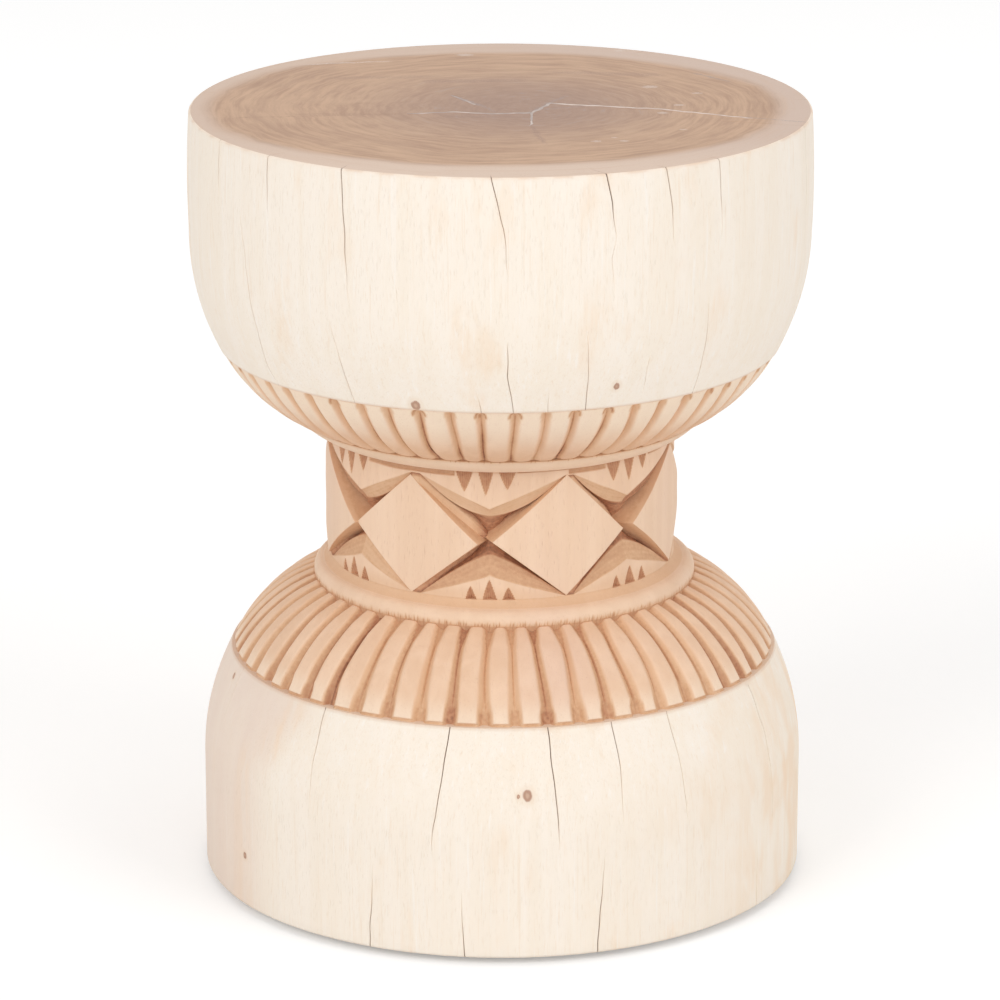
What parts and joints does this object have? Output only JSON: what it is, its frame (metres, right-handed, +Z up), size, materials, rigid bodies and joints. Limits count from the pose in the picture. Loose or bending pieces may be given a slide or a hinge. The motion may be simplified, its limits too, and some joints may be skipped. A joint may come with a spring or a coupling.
{
  "type": "drum table",
  "caption": "Hourglass side table carved from one log: wide bowl-shaped top, gadroon band, diamond-carved neck, fluted shoulder and heavy round foot on felt glides.",
  "frame": {"origin": "on the floor, under the centre of the foot", "axes": "+Z up along the log's axis, -Y towards the front, +X to the right seen from the front"},
  "size_m": [0.3514, 0.3514, 0.446],
  "materials": {
    "bleached_wood": "bleached and sanded, matt, peach in the carving, brown heartwood on the top",
    "pale_filler": "sanded flush, matt",
    "glide_plastic": "moulded, satin",
    "glide_felt": "pressed wool felt",
    "screw_steel": "zinc plated"
  },
  "bodies": {
    "root": {"carved_body": "bleached_wood", "check_filler": "pale_filler", "glide_cup_1": "glide_plastic", "glide_cup_2": "glide_plastic", "glide_cup_3": "glide_plastic", "glide_cup_4": "glide_plastic", "glide_felt_1": "glide_felt", "glide_felt_2": "glide_felt", "glide_felt_3": "glide_felt", "glide_felt_4": "glide_felt", "glide_screws": "screw_steel"}
  },
  "joints": []
}
